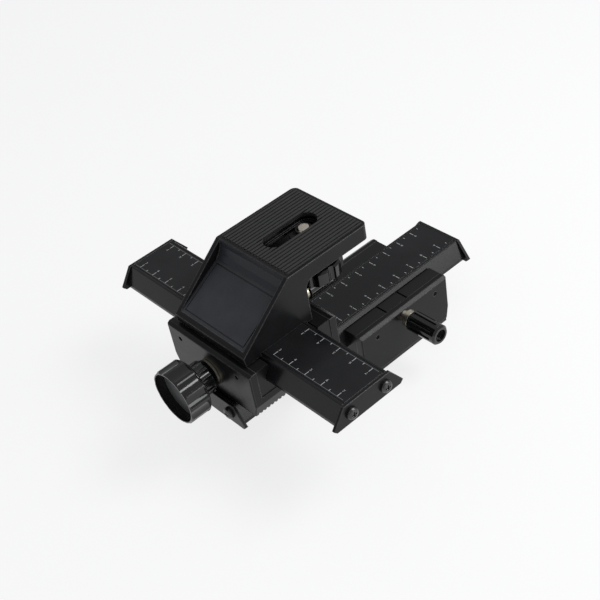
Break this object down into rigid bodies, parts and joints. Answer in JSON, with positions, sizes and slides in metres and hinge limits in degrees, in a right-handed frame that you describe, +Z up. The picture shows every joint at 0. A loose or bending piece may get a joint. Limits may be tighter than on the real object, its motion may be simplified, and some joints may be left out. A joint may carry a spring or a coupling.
{
  "type": "macro focusing rail",
  "caption": "Two-way macro focusing rail: crossed rack-driven dovetail stages with drive and lock knobs, tripod base and a camera bracket with a slotted platform.",
  "frame": {"origin": "midway between the tripod bushes, on the underside of the base's rubber sole", "axes": "+Z up, +Y along the lower rail away from the camera bracket's sloping front, +X along the upper rail"},
  "size_m": [0.157, 0.1742, 0.0868],
  "materials": {
    "black_casting": "satin black anodised",
    "black_rail": "satin black anodised",
    "black_knob": "gloss",
    "grey_disc": "matte",
    "black_plate": "textured",
    "rubber": "matte",
    "black_gib": "matte",
    "brass": "satin",
    "bronze": "satin",
    "steel": "satin",
    "black_steel": "satin",
    "nylon": "matte"
  },
  "bodies": {
    "base": {"lower_carriage": "black_casting", "lower_gib_plain": "black_gib", "lower_gib_lock": "black_gib", "lower_gib_screws": "black_steel", "lower_drive_bushes": "bronze", "base_pad": "rubber", "tripod_bush_small": "brass", "tripod_bush_large": "brass"},
    "cross_slide": {"lower_rail": "black_rail", "lower_rack": "steel", "lower_end_plate_back": "black_casting", "lower_end_plate_front": "black_casting", "lower_end_screws": "black_steel", "upper_carriage": "black_casting", "upper_gib_plain": "black_gib", "upper_gib_lock": "black_gib", "upper_gib_screws": "black_steel", "upper_drive_bushes": "bronze", "cross_mount_screws": "black_steel"},
    "camera_slide": {"upper_rail": "black_rail", "upper_rack": "steel", "upper_end_plate_left": "black_casting", "upper_end_plate_right": "black_casting", "upper_end_screws": "black_steel", "bracket": "black_casting", "bracket_screws": "black_steel", "label_plate": "black_plate", "platform_pad": "rubber"},
    "lower_drive": {"lower_drive_knob": "black_knob", "lower_knob_cap": "grey_disc", "lower_drive_washer": "brass", "lower_drive_shaft": "steel", "lower_pinion": "brass"},
    "upper_drive": {"upper_drive_knob": "black_knob", "upper_knob_cap": "grey_disc", "upper_drive_washer": "brass", "upper_drive_shaft": "steel", "upper_pinion": "brass"},
    "lower_lock": {"lower_lock_knob": "black_knob", "lower_lock_washer": "brass", "lower_lock_stud": "steel"},
    "upper_lock": {"upper_lock_knob": "black_knob", "upper_lock_washer": "brass", "upper_lock_stud": "steel"},
    "lower_shoe": {"lower_clamp_shoe": "black_gib"},
    "upper_shoe": {"upper_clamp_shoe": "black_gib"},
    "screw_guide": {"slot_guide": "nylon"},
    "screw_washer": {"thrust_washer": "brass"},
    "screw": {"camera_screw": "steel", "thumb_wheel": "black_knob"}
  },
  "joints": [
    {"name": "lower_rail_slide", "type": "slide", "parent": "base", "child": "cross_slide", "axis": [0, 1, 0], "range_m": [-0.0224, 0.0678]},
    {"name": "upper_rail_slide", "type": "slide", "parent": "cross_slide", "child": "camera_slide", "axis": [1, 0, 0], "range_m": [-0.0445, 0.0457]},
    {"name": "lower_drive_turn", "type": "hinge", "parent": "base", "child": "lower_drive", "pos_m": [-0.0262, 0.0024, 0.0132], "axis": [-1, 0, 0], "range_deg": [-259, 780]},
    {"name": "upper_drive_turn", "type": "hinge", "parent": "cross_slide", "child": "upper_drive", "pos_m": [-0.0024, -0.0952, 0.0405], "axis": [0, -1, 0], "range_deg": [-526, 513]},
    {"name": "lower_lock_turn", "type": "hinge", "parent": "base", "child": "lower_lock", "pos_m": [0.0262, 0, 0.0236], "axis": [-1, 0, 0], "range_deg": [0, 120]},
    {"name": "upper_lock_turn", "type": "hinge", "parent": "cross_slide", "child": "upper_lock", "pos_m": [0, -0.0428, 0.0509], "axis": [0, -1, 0], "range_deg": [0, 120]},
    {"name": "lower_shoe_clamp", "type": "slide", "parent": "base", "child": "lower_shoe", "axis": [-1, 0, 0], "range_m": [0, 0.000233]},
    {"name": "upper_shoe_clamp", "type": "slide", "parent": "cross_slide", "child": "upper_shoe", "axis": [0, -1, 0], "range_m": [0, 0.000233]},
    {"name": "screw_slot_slide", "type": "slide", "parent": "camera_slide", "child": "screw_guide", "axis": [0, 1, 0], "range_m": [-0.0169, 0.0015]},
    {"name": "screw_lift", "type": "slide", "parent": "screw_guide", "child": "screw_washer", "axis": [0, 0, 1], "range_m": [0, 0.006]},
    {"name": "screw_spin", "type": "hinge", "parent": "screw_washer", "child": "screw", "pos_m": [-0.0017, -0.0295, 0.0621], "axis": [0, 0, 1], "continuous": true}
  ],
  "couplings": [
    {"joint": "lower_drive_turn", "follows": "lower_rail_slide", "rad_per_m": 200},
    {"joint": "upper_drive_turn", "follows": "upper_rail_slide", "rad_per_m": -200},
    {"joint": "lower_lock_turn", "follows": "lower_shoe_clamp", "rad_per_m": 8976},
    {"joint": "upper_lock_turn", "follows": "upper_shoe_clamp", "rad_per_m": 8976}
  ]
}
